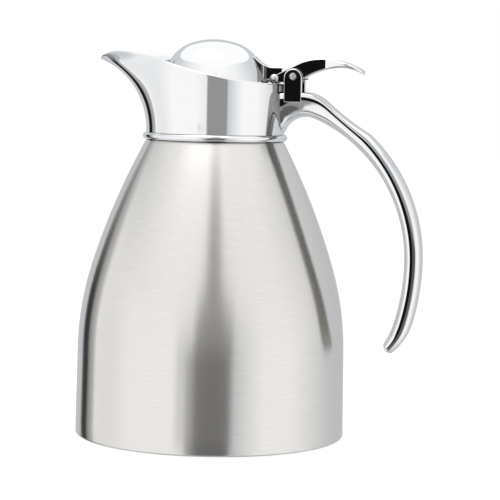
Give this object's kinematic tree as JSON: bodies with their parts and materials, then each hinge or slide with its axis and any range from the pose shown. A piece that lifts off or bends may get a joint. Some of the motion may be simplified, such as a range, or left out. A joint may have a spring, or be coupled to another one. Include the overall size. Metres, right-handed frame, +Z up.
{
  "type": "insulated coffee server",
  "caption": "Double-walled steel coffee server with a flared body, a pouring collar, a hanging handle and a domed lid that a thumb lever swings up.",
  "frame": {"origin": "middle of the base pad's underside, on the table", "axes": "+Z up, +X towards the handle, -X towards the pouring lip, +Y to the right of someone who looks the way it pours"},
  "size_m": [0.1742, 0.136, 0.2],
  "materials": {
    "brushed_steel": "fine level brushing",
    "inner_steel": "satin, as drawn",
    "bright_chrome": "mirror polish",
    "screw_steel": "turned and plated",
    "spring_steel": "drawn wire",
    "solder": "dull grey",
    "black_plastic": "fine moulded grain",
    "black_rubber": "soft matt",
    "silicone": "translucent matt",
    "pale_foam": "closed-cell foam"
  },
  "bodies": {
    "pot": {"outer_shell": "brushed_steel", "base_plate": "inner_steel", "vacuum_seal": "solder", "getter": "solder", "base_pad": "black_rubber", "inner_flask": "inner_steel", "flask_bottom": "inner_steel", "mouth_gasket": "silicone", "neck_ring": "black_plastic", "collar": "bright_chrome", "handle": "bright_chrome", "handle_screws": "screw_steel", "hinge_barrel": "screw_steel", "hinge_screw": "screw_steel"},
    "lid": {"lid_dome": "bright_chrome", "thumb_lever": "bright_chrome", "lever_rivet": "screw_steel", "stopper_plate": "black_plastic", "stopper_cup": "black_plastic", "stopper_core": "pale_foam", "stopper_gasket": "silicone", "lid_screw": "screw_steel", "hinge_spring": "spring_steel"}
  },
  "joints": [
    {"name": "lid_hinge", "type": "hinge", "parent": "pot", "child": "lid", "pos_m": [0.0399, 0, 0.1824], "axis": [0, 1, 0], "range_deg": [0, 38], "stiffness_Nm_per_rad": 0.03, "springref_deg": -17.19, "deforming": ["hinge_spring"]}
  ]
}
